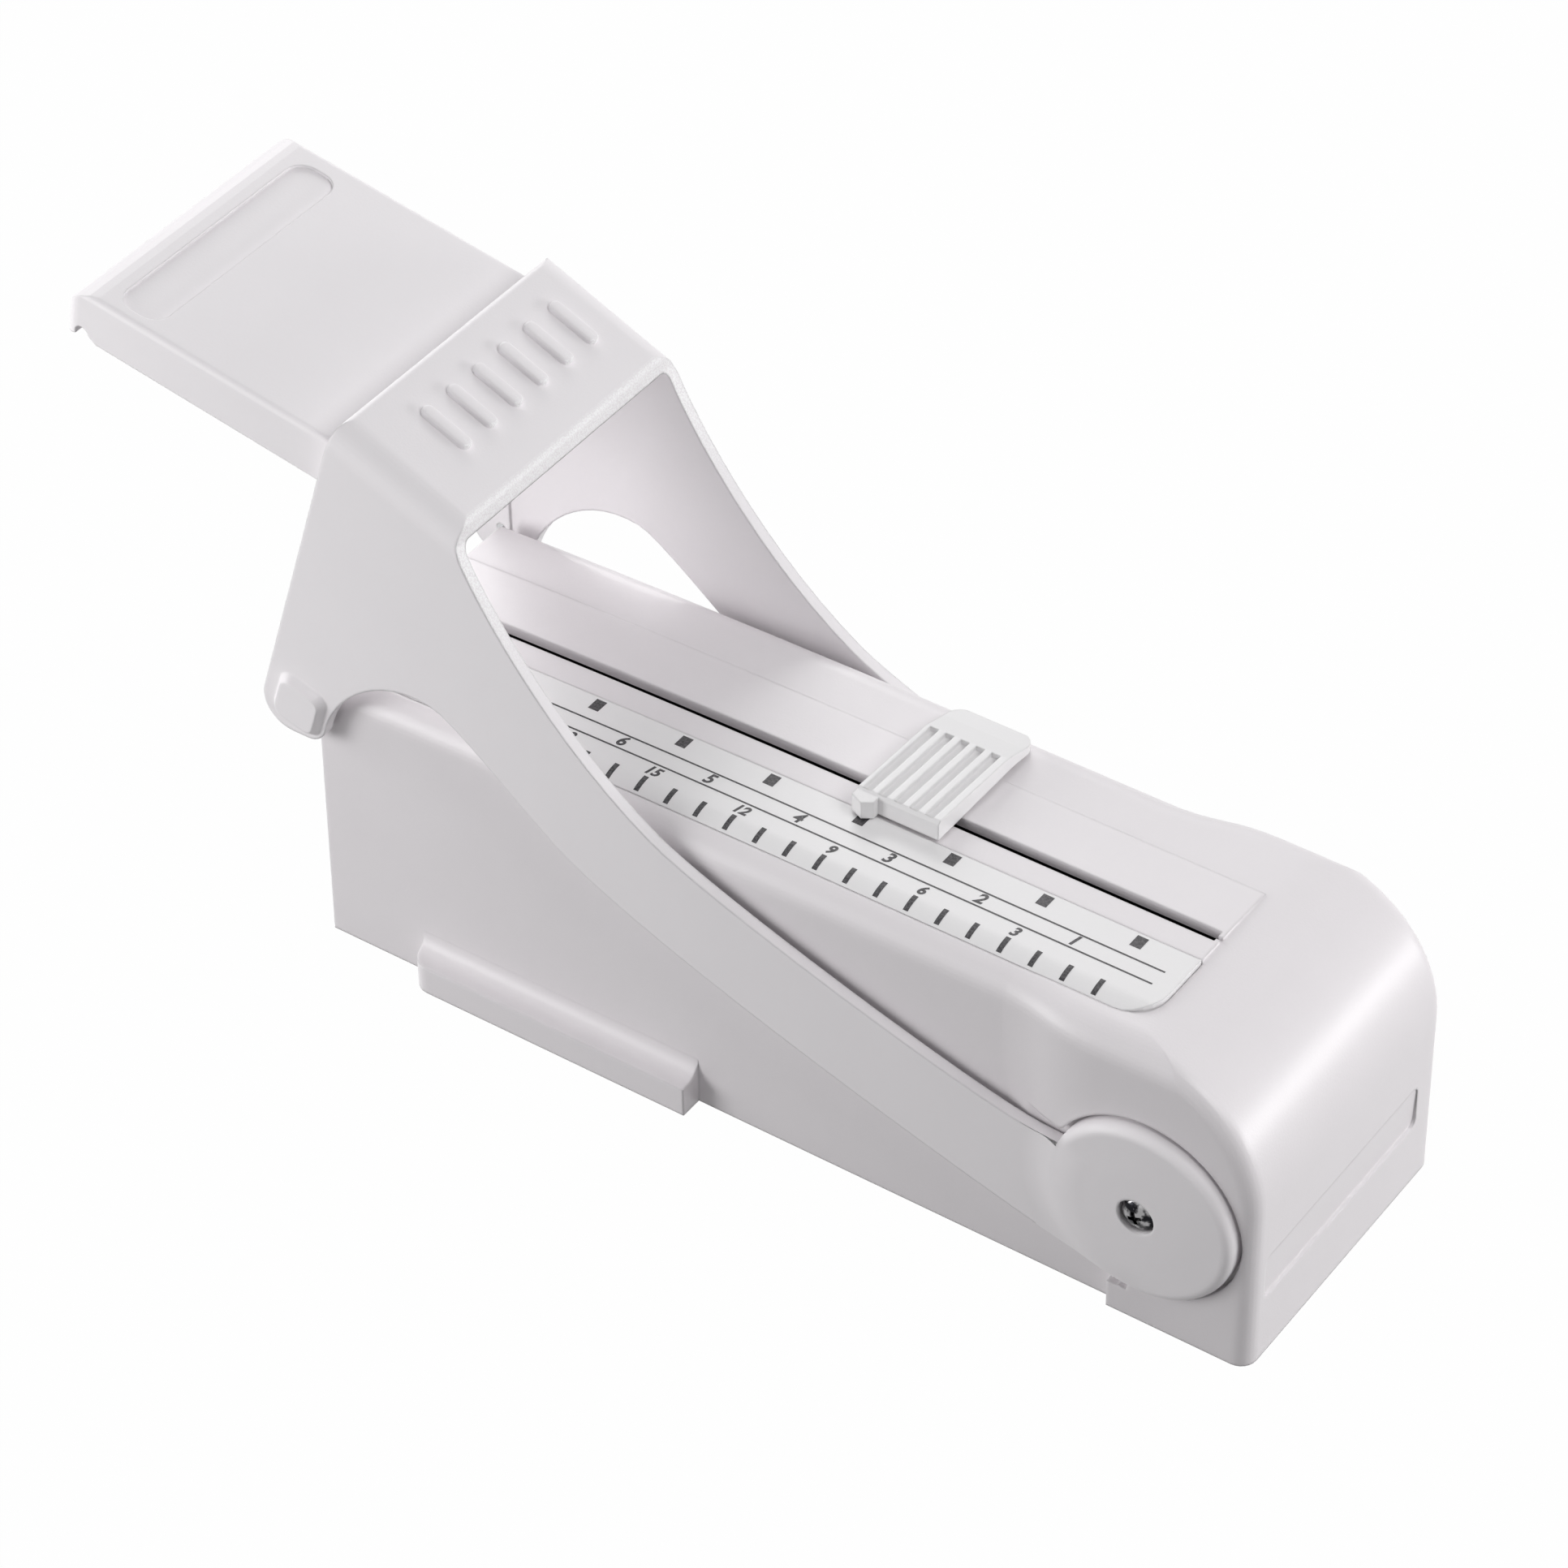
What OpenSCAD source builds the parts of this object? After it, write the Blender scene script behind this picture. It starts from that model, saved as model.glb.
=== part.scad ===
// Butter slicer: a long housing that holds one stick, a slider that pushes the
// stick out of the open end, a press lever that carries a cutting wire past that
// end, and a lid on the lever that folds down over the wire.
// X runs along the housing with the outlet at -X, Y across, Z up from the table.

/* [Housing] */
// Length of the housing from the outlet to the rear wall
housing_l = 159.3; // [156:0.5:166]
// Half width of the side walls at the foot
foot_half = 23.5; // [23:0.1:23.6]
// How far each side leans in on its way up
side_lean = 0.6; // [0.2:0.1:1]
// Height at which the side stops leaning
lean_h = 36; // [30:1:37]
// Height of the flat top
top_z = 49.4; // [49:0.1:50.5]
// Thickness of the side walls
wall_t = 1.9; // [1.6:0.1:2]
// Thickness of the top and of the rear wall
roof_t = 2; // [1.8:0.1:2.2]
// Radius of the long shoulders
shoulder_r = 4.6; // [4:0.1:5.5]
// Radius of the bow that lowers the top towards the outlet
bow_r = 1912; // [1600:10:4000]
// Radius of the big shoulder at the rear
rear_r = 21; // [19:0.5:22]
// Chamfer along the top edge of the outlet
lip = 0.9; // [0.4:0.1:1.2]

/* [Cheeks at the rear] */
// How far the thicker cheeks beside the pivot stand out from the foot
cheek_out = 1.7; // [1.5:0.1:1.9]
// Length of the cheeks from the rear wall forward
cheek_l = 22.7; // [22:0.1:24]
// Distance from the rear wall to the full width of the upper cheeks
cheek_full = 26.6; // [25:0.1:28]
// Length over which the upper cheeks fade into the side walls
cheek_fade = 17; // [13:1:20]
// Radius along the rear edges of the cheeks
cheek_r = 2.6; // [1.5:0.1:3]
// Distance from the slot's middle to the near end of the rear panel
panel_near = 21.5; // [16:0.1:22]
// Distance from the slot's middle to the far end of the rear panel
panel_far = 19.3; // [16:0.1:22]
// Height of the lower edge of the rear panel
panel_z = 11; // [8:0.1:14]
// Height of the rear panel
panel_h = 7.5; // [5:0.1:9]
// Depth of the rear panel at its lower edge
panel_t = 0.5; // [0.3:0.1:0.8]

/* [Side feet] */
// Length of each side foot
foot_l = 49.3; // [40:1:52]
// Distance from the outlet to the side foot
foot_back = 17.2; // [15:0.5:22]
// How far each side foot stands out from the wall
foot_out = 3.8; // [3:0.1:5]
// Height of the side foot's ledge
foot_h = 5; // [4:0.1:5.5]
// Radius of the hollow above the ledge
foot_fillet = 2.9; // [2:0.1:3]

/* [Track and scale] */
// Width of the slot in the top
slot_w = 2.1; // [2.1:0.1:2.4]
// Distance from the outlet to the slot
slot_front = 6.6; // [5:0.1:7]
// Distance from the rear wall to the slot
slot_back = 22.1; // [21:0.1:22.3]
// Distance from the rear wall to the ends of the rails and the scale
track_back = 21.4; // [21:0.1:22]
// Height of the rails over the top
rail_h = 0.55; // [0.3:0.05:0.7]
// Distance from the slot's middle to the ridge on the far rail
ridge_y = 11.3; // [10:0.1:13]
// Distance from the slot's middle to the scale plate
plate_in = 5.5; // [5:0.1:6.5]
// Distance from the near side of the housing to the scale plate
plate_edge = 3.7; // [3.6:0.1:5]
// Height of the scale plate over the top
plate_h = 0.75; // [0.6:0.05:0.8]
// Depth of the pocket that holds the scale plate
plate_pocket = 0.7; // [0.5:0.05:0.9]
// Distance from the outlet to the scale plate
plate_front = 5; // [3:0.5:8]
// Radius of the scale plate's corners in plan
plate_r = 5.5; // [3:0.5:6]

/* [Floor] */
// Height of the surface that the butter lies on
floor_z = 5.4; // [5.2:0.1:5.8]
// Thickness of the floor
floor_t = 1.8; // [1.5:0.1:2.2]
// Thickness of the floor's skirts and ribs
skirt_t = 1.6; // [1.2:0.1:2]
// Spacing of the cross ribs under the floor
rib_pitch = 39; // [34:0.5:40]
// How far the snap beads on the skirts stand out
bead = 0.45; // [0.3:0.05:0.6]

/* [Slider] */
// Length of the thumb grip along the housing
thumb_l = 13.6; // [12.5:0.1:14]
// Thickness of the thumb grip at its near edge
thumb_t = 3.2; // [2.8:0.1:3.3]
// Radius of the far corners of the thumb grip in plan
thumb_r = 3; // [1:0.5:4]
// Distance from the slot's middle to the near edge of the thumb grip
thumb_near = 5.2; // [4.5:0.1:5.4]
// Distance from the slot's middle to the far end of the thumb grip
thumb_far = 20.3; // [19:0.1:20.5]
// Number of grooves in the thumb grip
groove_n = 5; // [3:1:5]
// Width of each groove
groove_w = 1.45; // [1:0.05:1.6]
// Spacing of the grooves
groove_pitch = 2.57; // [2.2:0.01:2.6]
// Depth of the grooves
groove_d = 0.8; // [0.4:0.1:1.2]
// Place of the pointer in the photographed position
pointer_x = 4.2; // [3:0.1:5]
// Distance from the pusher's face back to the pointer
pusher_lead = 8.4; // [8:0.1:9]
// Gap between the pusher plate and each side wall
pusher_side = 1.7; // [1.4:0.1:3]
// Gap between the pusher plate and the inside of the top
pusher_top = 2.6; // [2.5:0.1:4]
// Thickness of the pusher plate
pusher_t = 2.2; // [1.8:0.1:2.6]
// Thickness of the web that passes through the slot
web_t = 1.5; // [1.2:0.1:1.5]
// Length of the web in the slot
web_l = 7.2; // [6:0.1:7.4]

/* [Press lever] */
// Distance from the rear wall to the pivot
pivot_back = 17.15; // [17:0.05:17.6]
// Height of the pivot
pivot_z = 22; // [21.8:0.1:22.4]
// Radius of the round ends of the arms
disc_r = 14.7; // [13.5:0.1:14.8]
// How far the round ends stand out over the arms
disc_out = 1.4; // [0.8:0.1:1.8]
// Length of the soft slope between the arm and its round end
neck_l = 6; // [3:0.5:7]
// Thickness of the arms
arm_t = 1.9; // [1.6:0.1:2.2]
// Thickness of the press bar
bar_t = 2.7; // [2:0.1:2.9]
// Height of the front edge of the press bar
bar_z = 98; // [96:0.1:99]
// Length of the press bar from front to rear, seen from above
bar_l = 20.5; // [19:0.1:21]
// Slope of the press bar
bar_slope = 23.9; // [22:0.1:25]
// Radius of the outer corners of the press bar
bar_r = 4.6; // [3:0.1:7]
// Width of the raised boss on each ear
boss_w = 8.6; // [7:0.1:9]
// Height of the raised boss
boss_h = 1.2; // [0.8:0.1:1.6]

/* [Wire and screws] */
// Diameter of the cutting wire
wire_d = 0.5; // [0.4:0.05:0.6]
// Height of the wire with the lever up
wire_z = 43.9; // [43.7:0.05:44.2]
// Distance from the outlet forward to the wire
wire_ahead = 1.95; // [1.8:0.05:2.4]
// Outer diameter of the ferrules that hold the wire
ferrule_d = 1.6; // [1.4:0.1:2]
// Diameter of the pivot screws' heads
head_d = 5.3; // [4.8:0.1:5.6]
// Diameter of the shoulder that the arm turns on
shoulder_d = 4; // [3.6:0.1:4.2]
// Diameter of the screw shank in the housing
shank_d = 2.8; // [2.4:0.1:3.2]
// Length of the screw shank
shank_l = 8; // [6:0.5:10]

/* [Lid] */
// Length of the lid past the notch that snaps over the wire
lid_nose = 3.4; // [3:0.1:3.6]
// Slope of the open lid
lid_slope = 10.3; // [8:0.1:11]
// Distance from the hinge axis to the lid's outer face
lid_up = 3.7; // [3.4:0.1:3.8]
// Depth of the lid's side flanges
lid_depth = 8.1; // [7.5:0.1:8.3]
// Thickness of the lid
lid_t = 1.7; // [1.4:0.1:2]
// Radius of the lid's far edge
lid_r = 5.5; // [2.5:0.1:6]
// Radius of the notch that snaps over the wire
notch_r = 1.2; // [0.8:0.1:1.4]
// Diameter of the hinge pins
pin_d = 2.4; // [2:0.1:2.6]
// Depth of the shallow recess near the lid's far end
recess_t = 0.5; // [0.3:0.1:0.8]

/* [Hidden] */
x_out = -housing_l / 2;
x_rear = housing_l / 2;
side_half = foot_half - side_lean;
side_step = 40;
axis_z = top_z - bow_r;
bow_angle = asin((housing_l / 2 + 3) / bow_r);
rear_x = x_rear - rear_r;
rear_z = top_z - rear_r;
cheek_x = x_rear - cheek_l;
cheek_half = foot_half + cheek_out;
full_x = x_rear - cheek_full;
fade_z = 24;
flare = cheek_half - side_half + 0.05;
fade_r = (cheek_fade * cheek_fade + flare * flare) / (4 * flare);
fade_turn = 2 * atan(flare / cheek_fade);
skin_t = 8;
out_z = axis_z + sqrt(bow_r * bow_r - x_out * x_out);
stop_pitch = 45;
in_half = side_half - wall_t;
in_foot = foot_half - wall_t;
in_r = shoulder_r - wall_t;
slot_x0 = x_out + slot_front;
slot_x1 = x_rear - slot_back;
track_x = x_rear - track_back;
plate_x0 = x_out + plate_front;
plate_y1 = -plate_in;
plate_y0 = plate_edge - side_half;
plate_top = top_z + plate_h;
plate_fall = 3;
seat_gap = 0.05;
plan_gap = 0.15;
run_gap = 0.3;
pivot_x = x_rear - pivot_back;
pocket_gap = 0.6;
pocket_y = foot_half + 0.05;
arm_gap = 0.5;
arm_in = foot_half + arm_gap;
arm_half = arm_in + arm_t;
bar_x = x_out + 9.05;
bar_end = bar_x + bar_l;
wire_x = x_out - wire_ahead;
pad_x = x_out - run_gap;
pad_y = arm_in - run_gap;
boss_x = wire_x + 1.2;
boss_z = wire_z + 0.8;
ear_lean = 17.6;
boss_face = arm_half + boss_h;
fit = 0.04;
screw_seat = arm_in + 2.2;
lid_x = x_out + 8.45;
lid_z = 89.2;
lid_half = pad_y - run_gap;
lid_low = lid_up - lid_depth;
lid_tail = 2.2;
notch_n = lid_low + 0.6;
wire_reach = norm([wire_x - lid_x, wire_z - lid_z]);
notch_s = sqrt(wire_reach * wire_reach - notch_n * notch_n);
lid_l = notch_s + lid_nose;
recess_back = 7.2;
recess_w = 7.8;
screw_boss = 7.5;
pin_end = arm_in + 1.3;
thumb_x0 = pointer_x - 2.1;
thumb_z0 = plate_top + run_gap;
thumb_z1 = thumb_z0 + thumb_t;
web_x0 = pointer_x - 1.2;
socket_d = 1.6;
push_x = pointer_x - pusher_lead;
push_z0 = floor_z + run_gap;
push_z1 = top_z - roof_t - pusher_top;
push_half = in_half - pusher_side;

// Points along an arc
function arc(cx, cy, r, a0, a1, n) =
    [for (i = [0:n]) [cx + r * cos(a0 + (a1 - a0) * i / n), cy + r * sin(a0 + (a1 - a0) * i / n)]];

// Points along a Bezier curve with four control points
function bez(a, b, c, d, n) =
    [for (i = [0:n]) let (t = i / n, u = 1 - t)
        u * u * u * a + 3 * u * u * t * b + 3 * u * t * t * c + t * t * t * d];

// A cross section, drawn as Y and Z, run along X
module along_x(x0, x1) {
    translate([x0, 0, 0])
        rotate([90, 0, 90])
            linear_extrude(x1 - x0)
                children();
}

// A side outline, drawn as X and Z, run along Y
module along_y(y0, y1) {
    translate([0, y1, 0])
        rotate([90, 0, 0])
            linear_extrude(y1 - y0)
                children();
}

// A cross section swept forward along the bow of the top
module along_bow() {
    translate([0, 0, axis_z])
        rotate([90, -90, 0])
            rotate_extrude(angle = bow_angle, $fn = 900)
                translate([-axis_z, 0])
                    rotate(-90)
                        children();
}

// The near side and its mirror image
module both_sides() {
    children();
    mirror([0, 1, 0])
        children();
}

// A section with round upper corners between two heights
module arch_2d(half, r, z0, z1) {
    polygon(concat(
        [[-half, z0], [half, z0]],
        arc(half - r, z1 - r, r, 0, 90, 10),
        arc(r - half, z1 - r, r, 90, 180, 10)));
}

// A plate outline with round corners
module round_2d(x0, y0, x1, y1, r) {
    polygon(concat(
        arc(x1 - r, y0 + r, r, -90, 0, 6),
        arc(x1 - r, y1 - r, r, 0, 90, 6),
        arc(x0 + r, y1 - r, r, 90, 180, 6),
        arc(x0 + r, y0 + r, r, 180, 270, 6)));
}

// The lower part of the side walls, which lean in a little
module leaning_2d(half_low, half_up, z0, z1) {
    polygon([
        [-half_low, z0], [half_low, z0],
        [half_up, lean_h], [half_up, z1],
        [-half_up, z1], [-half_up, lean_h]]);
}

// The two rails beside the slot
module rails_2d() {
    polygon([
        [-plate_in - 1, top_z - 1], [-slot_w / 4, top_z - 1],
        [-slot_w / 4, top_z + rail_h], [-plate_in - 1, top_z + rail_h]]);
    polygon([
        [0, top_z - 1], [ridge_y, top_z - 1],
        [ridge_y, top_z + 0.25], [slot_w / 4, top_z + rail_h], [0, top_z + rail_h]]);
}

// Quarter turn of a rounded section for the shoulder at the rear
module rear_quarter(half, r, radius) {
    translate([rear_x, 0, rear_z])
        rotate([-90, -90, 0])
            rotate_extrude(angle = 90, $fn = 96)
                intersection() {
                    translate([-2 * half, -half])
                        round_2d(0, 0, 2 * half + radius, 2 * half, r);
                    translate([0, -half])
                        square([radius, 2 * half]);
                }
}

// The rear cheeks below the shoulder, with round upright edges
module rear_plan(half, r, z0, x1) {
    translate([0, 0, z0])
        linear_extrude(rear_z - z0)
            intersection() {
                round_2d(rear_x - 2 * half, -half, x1, half, r);
                translate([rear_x - 0.5, -half])
                    square([x1 - rear_x + 0.5, 2 * half]);
            }
}

// The outer form of the housing
module housing_outer() {
    along_x(x_out, rear_x)
        leaning_2d(foot_half, side_half, 0, side_step);
    along_x(0, rear_x)
        arch_2d(side_half, shoulder_r, side_step - 1, top_z);
    along_x(0, track_x)
        rails_2d();
    difference() {
        along_bow() {
            arch_2d(side_half, shoulder_r, side_step - 1, top_z);
            rails_2d();
        }
        translate([x_out - 10, -cheek_half, 0])
            cube([10, 2 * cheek_half, top_z + 5]);
    }
    along_x(cheek_x, rear_x)
        arch_2d(cheek_half, shoulder_r, 0, top_z);
    along_x(full_x, rear_x)
        arch_2d(cheek_half, shoulder_r, fade_z, top_z);
    intersection() {
        rear_quarter(cheek_half, cheek_r, rear_r);
        along_x(rear_x - 1, x_rear + 1)
            arch_2d(cheek_half, shoulder_r, 0, top_z);
    }
    rear_plan(cheek_half, cheek_r, 0, x_rear);
    both_sides() {
        upper_cheek_fade();
        side_foot();
    }
}

// Section of an upper cheek's skin, with its outer face on the axis
module skin_2d() {
    polygon(concat(
        [[-skin_t, fade_z], [0, fade_z]],
        arc(-shoulder_r, top_z - shoulder_r, shoulder_r, 0, 90, 10),
        [[-skin_t, top_z]]));
}

// Two bends that lead the side wall out to the upper cheek
module upper_cheek_fade() {
    translate([full_x, cheek_half - fade_r, 0])
        rotate([0, 0, 90])
            rotate_extrude(angle = fade_turn, $fn = 360)
                translate([fade_r, 0])
                    skin_2d();
    translate([full_x - cheek_fade, cheek_half - flare + fade_r, 0])
        rotate([0, 0, 270])
            rotate_extrude(angle = fade_turn, $fn = 360)
                translate([fade_r, 0])
                    mirror([1, 0])
                        skin_2d();
}

// One foot along the side, with a hollow above its ledge
module side_foot() {
    x0 = x_out + foot_back;
    y1 = foot_half + foot_out;
    yc = foot_half + foot_fillet - 0.1;
    intersection() {
        along_x(x0, x0 + foot_l)
            polygon(concat(
                [[foot_half - 1, 0], [y1, 0], [y1, foot_h]],
                arc(yc, foot_h + foot_fillet, foot_fillet, 270, 180, 8),
                [[foot_half - 1, foot_h + foot_fillet]]));
        linear_extrude(foot_h + foot_fillet)
            polygon(concat(
                [[x0, 0], [x0 + foot_l, 0], [x0 + foot_l, y1]],
                arc(x0 + foot_fillet, y1 - foot_fillet, foot_fillet, 90, 180, 6)));
    }
}

// The hollow of the housing, open at the outlet and underneath
module housing_inner() {
    half_rear = x_rear - roof_t;
    along_x(x_out - 1, rear_x)
        leaning_2d(in_foot, in_half, -1, side_step);
    along_x(rear_x - 0.5, half_rear)
        polygon([
            [-in_foot, -1], [in_foot, -1],
            [in_half, rear_z], [-in_half, rear_z]]);
    along_x(0, rear_x)
        arch_2d(in_half, in_r, side_step - 1, top_z - roof_t);
    along_bow()
        arch_2d(in_half, in_r, side_step - 1, top_z - roof_t);
    rear_quarter(in_half, 1, rear_r - roof_t);
}

// The pocket in each cheek, in which the round end of the arm turns
module pocket_2d() {
    reach = disc_r + pocket_gap;
    translate([pivot_x, pivot_z])
        circle(reach, $fn = 96);
    polygon(concat(
        [[pivot_x, pivot_z]],
        arc(pivot_x, pivot_z, disc_r + 2.7, 200, 262, 10)));
    polygon([
        [pivot_x - 12, pivot_z + 8.5],
        [pivot_x - 14, pivot_z + 7],
        [pivot_x - 18.5, pivot_z + 7.4],
        [pivot_x - 28, pivot_z + 10.4],
        [pivot_x - 28, -1],
        [pivot_x - 5, -1],
        [pivot_x, pivot_z]]);
}

// Places along X of the three stops that hold the floor down
function stop_x() = [for (k = [0:2]) x_out + foot_back + 5 + k * stop_pitch];

// Housing: one moulding, open at the outlet and underneath
module housing() {
    color("white")
        difference() {
            union() {
                difference() {
                    housing_outer();
                    housing_inner();
                }
                both_sides()
                    translate([pivot_x, in_half - screw_boss, pivot_z])
                        rotate([-90, 0, 0])
                            cylinder(h = screw_boss + 1, d = shank_d + 4.6, $fn = 48);
                both_sides()
                    for (x = stop_x())
                        along_x(x, x + 12)
                            polygon([
                                [in_half + 0.5, floor_z + 0.1],
                                [in_half - 0.1, floor_z + 0.1],
                                [in_half - 0.1, floor_z + 1.2],
                                [in_half + 0.5, floor_z + 2.2]]);
            }
            both_sides()
                along_y(pocket_y, cheek_half + 3)
                    difference() {
                        pocket_2d();
                        translate([cheek_x, -2])
                            square([cheek_l, pivot_z - disc_r - 0.5]);
                    }
            both_sides()
                translate([pivot_x, in_half - screw_boss - 0.5, pivot_z])
                    rotate([-90, 0, 0])
                        cylinder(h = cheek_half, d = shank_d, $fn = 32);
            translate([slot_x0, -slot_w / 2, side_step])
                cube([slot_x1 - slot_x0, slot_w, top_z]);
            plate_pocket_cut();
            both_sides()
                along_x(x_out + 3, x_rear - 6)
                    polygon([
                        [in_foot - 1, 0.9], [in_foot + bead + 0.1, 1.3],
                        [in_foot + bead + 0.1, 1.7], [in_foot - 1, 2.1]]);
            along_y(-cheek_half, cheek_half)
                polygon([
                    [x_out - 1, out_z - lip - 1], [x_out + lip + 3, out_z + 3],
                    [x_out - 1, out_z + 3]]);
            rear_panel_cut();
        }
}

// The shallow panel in the rear wall, deepest along its lower edge
module rear_panel_cut() {
    z1 = panel_z + panel_h;
    intersection() {
        translate([x_rear - panel_t, 0, 0])
            rotate([90, 0, 90])
                linear_extrude(panel_t + 1)
                    round_2d(-panel_near, panel_z, panel_far, z1, 1.2);
        along_y(-panel_near - 1, panel_far + 1)
            polygon([
                [x_rear - panel_t, panel_z - 0.1], [x_rear + 1, panel_z - 0.1],
                [x_rear + 1, z1 + 0.1], [x_rear - panel_t / 3, z1 + 0.1]]);
    }
}

// Outline of the scale plate in plan
module plate_plan(grow) {
    round_2d(plate_x0 - grow, plate_y0 - grow, track_x + grow, plate_y1 + grow + plate_r, plate_r);
}

// The pocket that holds the scale plate
module plate_pocket_cut() {
    y0 = plate_y0 - 1;
    y1 = plate_y1 + plan_gap;
    intersection() {
        translate([0, 0, side_step])
            linear_extrude(top_z)
                intersection() {
                    plate_plan(plan_gap);
                    translate([x_out, y0])
                        square([housing_l, y1 - y0]);
                }
        union() {
            along_x(0, track_x + 1)
                translate([y0, top_z - plate_pocket])
                    square([y1 - y0, 5]);
            along_bow()
                translate([y0, top_z - plate_pocket])
                    square([y1 - y0, 5]);
        }
    }
}

// Section of the scale plate, rounded down at its near edge
module plate_2d() {
    fall = plate_h + 0.15;
    r = (plate_fall * plate_fall + fall * fall) / (2 * fall);
    turn = asin(plate_fall / r);
    polygon(concat(
        [[plate_y0 - 1, top_z - plate_pocket + seat_gap], [plate_y1, top_z - plate_pocket + seat_gap]],
        [[plate_y1, plate_top]],
        arc(plate_y0 + plate_fall, plate_top - r, r, 90, 90 + turn, 6),
        [[plate_y0 - 1, plate_top - fall]]));
}

// Scale plate: a thin insert beside the slot, printed with the measuring scale
module scale_plate() {
    color("white")
        intersection() {
            translate([0, 0, side_step])
                linear_extrude(top_z)
                    intersection() {
                        plate_plan(0);
                        translate([x_out, plate_y0])
                            square([housing_l, plate_y1 - plate_y0]);
                    }
            union() {
                along_x(0, track_x)
                    plate_2d();
                along_bow()
                    plate_2d();
            }
        }
}

// Floor tray: closes the housing underneath and carries the butter
module floor_tray() {
    half = in_foot - 0.25;
    rib = skirt_t / 2;
    x0 = x_out + 0.5;
    x1 = x_rear - roof_t - run_gap;
    cells = [
        [x0 + skirt_t, -rib_pitch - rib], [rib - rib_pitch, -rib],
        [rib, rib_pitch - rib], [rib_pitch + rib, x1 - skirt_t]];
    color("white")
        difference() {
            union() {
                along_x(x0, x1)
                    polygon([
                        [-half, 0], [half, 0],
                        [half - 0.05, floor_z], [0.05 - half, floor_z]]);
                both_sides()
                    along_x(x_out + 3.3, x_rear - 6.3)
                        polygon([
                            [half - 1, 1.1], [half + bead - 0.05, 1.4],
                            [half + bead - 0.05, 1.6], [half - 1, 1.9]]);
            }
            both_sides()
                for (cell = cells)
                    translate([cell[0], rib, -1])
                        cube([cell[1] - cell[0], half - skirt_t - rib, floor_z - floor_t + 1]);
        }
}

// One pivot screw on the near side, with a domed head, a shoulder and a shank
module pivot_screw() {
    dome = 1;
    rim = 0.7;
    r = (head_d * head_d / 4 + dome * dome) / (2 * dome);
    turn = asin(head_d / 2 / r);
    translate([pivot_x, -pocket_y, pivot_z])
        rotate([90, 0, 0])
            difference() {
                rotate_extrude($fn = 64)
                    polygon(concat(
                        [[0, -shank_l], [shank_d / 2 - 0.4, -shank_l]],
                        [[shank_d / 2, 0.4 - shank_l], [shank_d / 2, 0]],
                        [[shoulder_d / 2, 0], [shoulder_d / 2, screw_seat - pocket_y]],
                        [[head_d / 2, screw_seat - pocket_y]],
                        arc(0, screw_seat - pocket_y + rim + dome - r, r, 90 - turn, 90, 8)));
                for (a = [0, 90])
                    rotate([0, 0, a + 20])
                        translate([-1.1, -0.3, screw_seat - pocket_y + rim])
                            cube([2.2, 0.6, 3]);
            }
}

// Pivot screws: one through each arm into the housing
module pivot_screws() {
    color("silver")
        both_sides()
            pivot_screw();
}

// Slider thumb grip: grooved pad over the slot, with the pointer at its near edge
module slider_thumb() {
    z_edge = thumb_z1 - 0.9;
    mid = thumb_x0 + thumb_l / 2 - 0.3;
    color("white")
        difference() {
            union() {
                intersection() {
                    along_x(thumb_x0, thumb_x0 + thumb_l)
                        polygon(concat(
                            [[-thumb_near, thumb_z0]],
                            [[ridge_y + 2.2, thumb_z0]],
                            [[thumb_far - 0.6, thumb_z0 - 0.7]],
                            arc(thumb_far - 0.6, thumb_z0 - 0.1, 0.6, -90, 60, 6),
                            [[ridge_y + 5.3, thumb_z1 - 2.1]],
                            [[ridge_y + 1.2, z_edge]],
                            [[0.6 - thumb_near, thumb_z1]],
                            [[-thumb_near, thumb_z1 - 0.5]]));
                    translate([0, 0, thumb_z0 - 2])
                        linear_extrude(thumb_t + 4)
                            intersection() {
                                round_2d(
                                    thumb_x0, -2 * thumb_far,
                                    thumb_x0 + thumb_l, thumb_far, thumb_r);
                                translate([thumb_x0, -thumb_near])
                                    square([thumb_l, thumb_near + thumb_far]);
                            }
                }
                translate([0, 0, thumb_z0])
                    linear_extrude(thumb_t - 0.3)
                        polygon([
                            [thumb_x0, 0.5 - thumb_near],
                            [thumb_x0, -thumb_near - 1.2],
                            [pointer_x, -thumb_near - 2.1],
                            [pointer_x + 1.5, -thumb_near - 1.1],
                            [pointer_x + 1.5, 0.5 - thumb_near]]);
            }
            translate([web_x0 - 0.1, -web_t / 2 - 0.05, thumb_z0 - 1])
                cube([web_l + 0.2, web_t + 0.1, 1 + socket_d]);
            for (i = [0:groove_n - 1])
                translate([
                    mid + (i - (groove_n - 1) / 2) * groove_pitch - groove_w / 2,
                    0.6 - thumb_near, 0])
                    along_x(0, groove_w)
                        polygon([
                            [0, thumb_z1 - groove_d], [0, thumb_z1 + 1],
                            [ridge_y + thumb_near + 0.4, thumb_z1 + 1],
                            [ridge_y + thumb_near + 0.4, z_edge - groove_d]]);
        }
}

// Pusher: the plate behind the butter, its rim, and the web that rises to the thumb grip
module pusher() {
    color("white") {
        difference() {
            along_x(push_x, push_x + 5)
                round_2d(-push_half, push_z0, push_half, push_z1, 2);
            along_x(push_x + pusher_t, push_x + 6)
                round_2d(
                    1.5 - push_half, push_z0 + 1.5,
                    push_half - 1.5, push_z1 - 1.5, 1);
        }
        along_y(-web_t / 2, web_t / 2)
            polygon([
                [push_x + pusher_t - 0.5, push_z0 + 12],
                [web_x0 + web_l - 1, push_z1 - 8],
                [web_x0 + web_l, push_z1 - 5],
                [web_x0 + web_l, thumb_z0 + socket_d - 0.1],
                [web_x0, thumb_z0 + socket_d - 0.1],
                [web_x0, push_z1 - 0.2],
                [push_x + pusher_t - 0.5, push_z1 - 0.2]]);
    }
}

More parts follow.
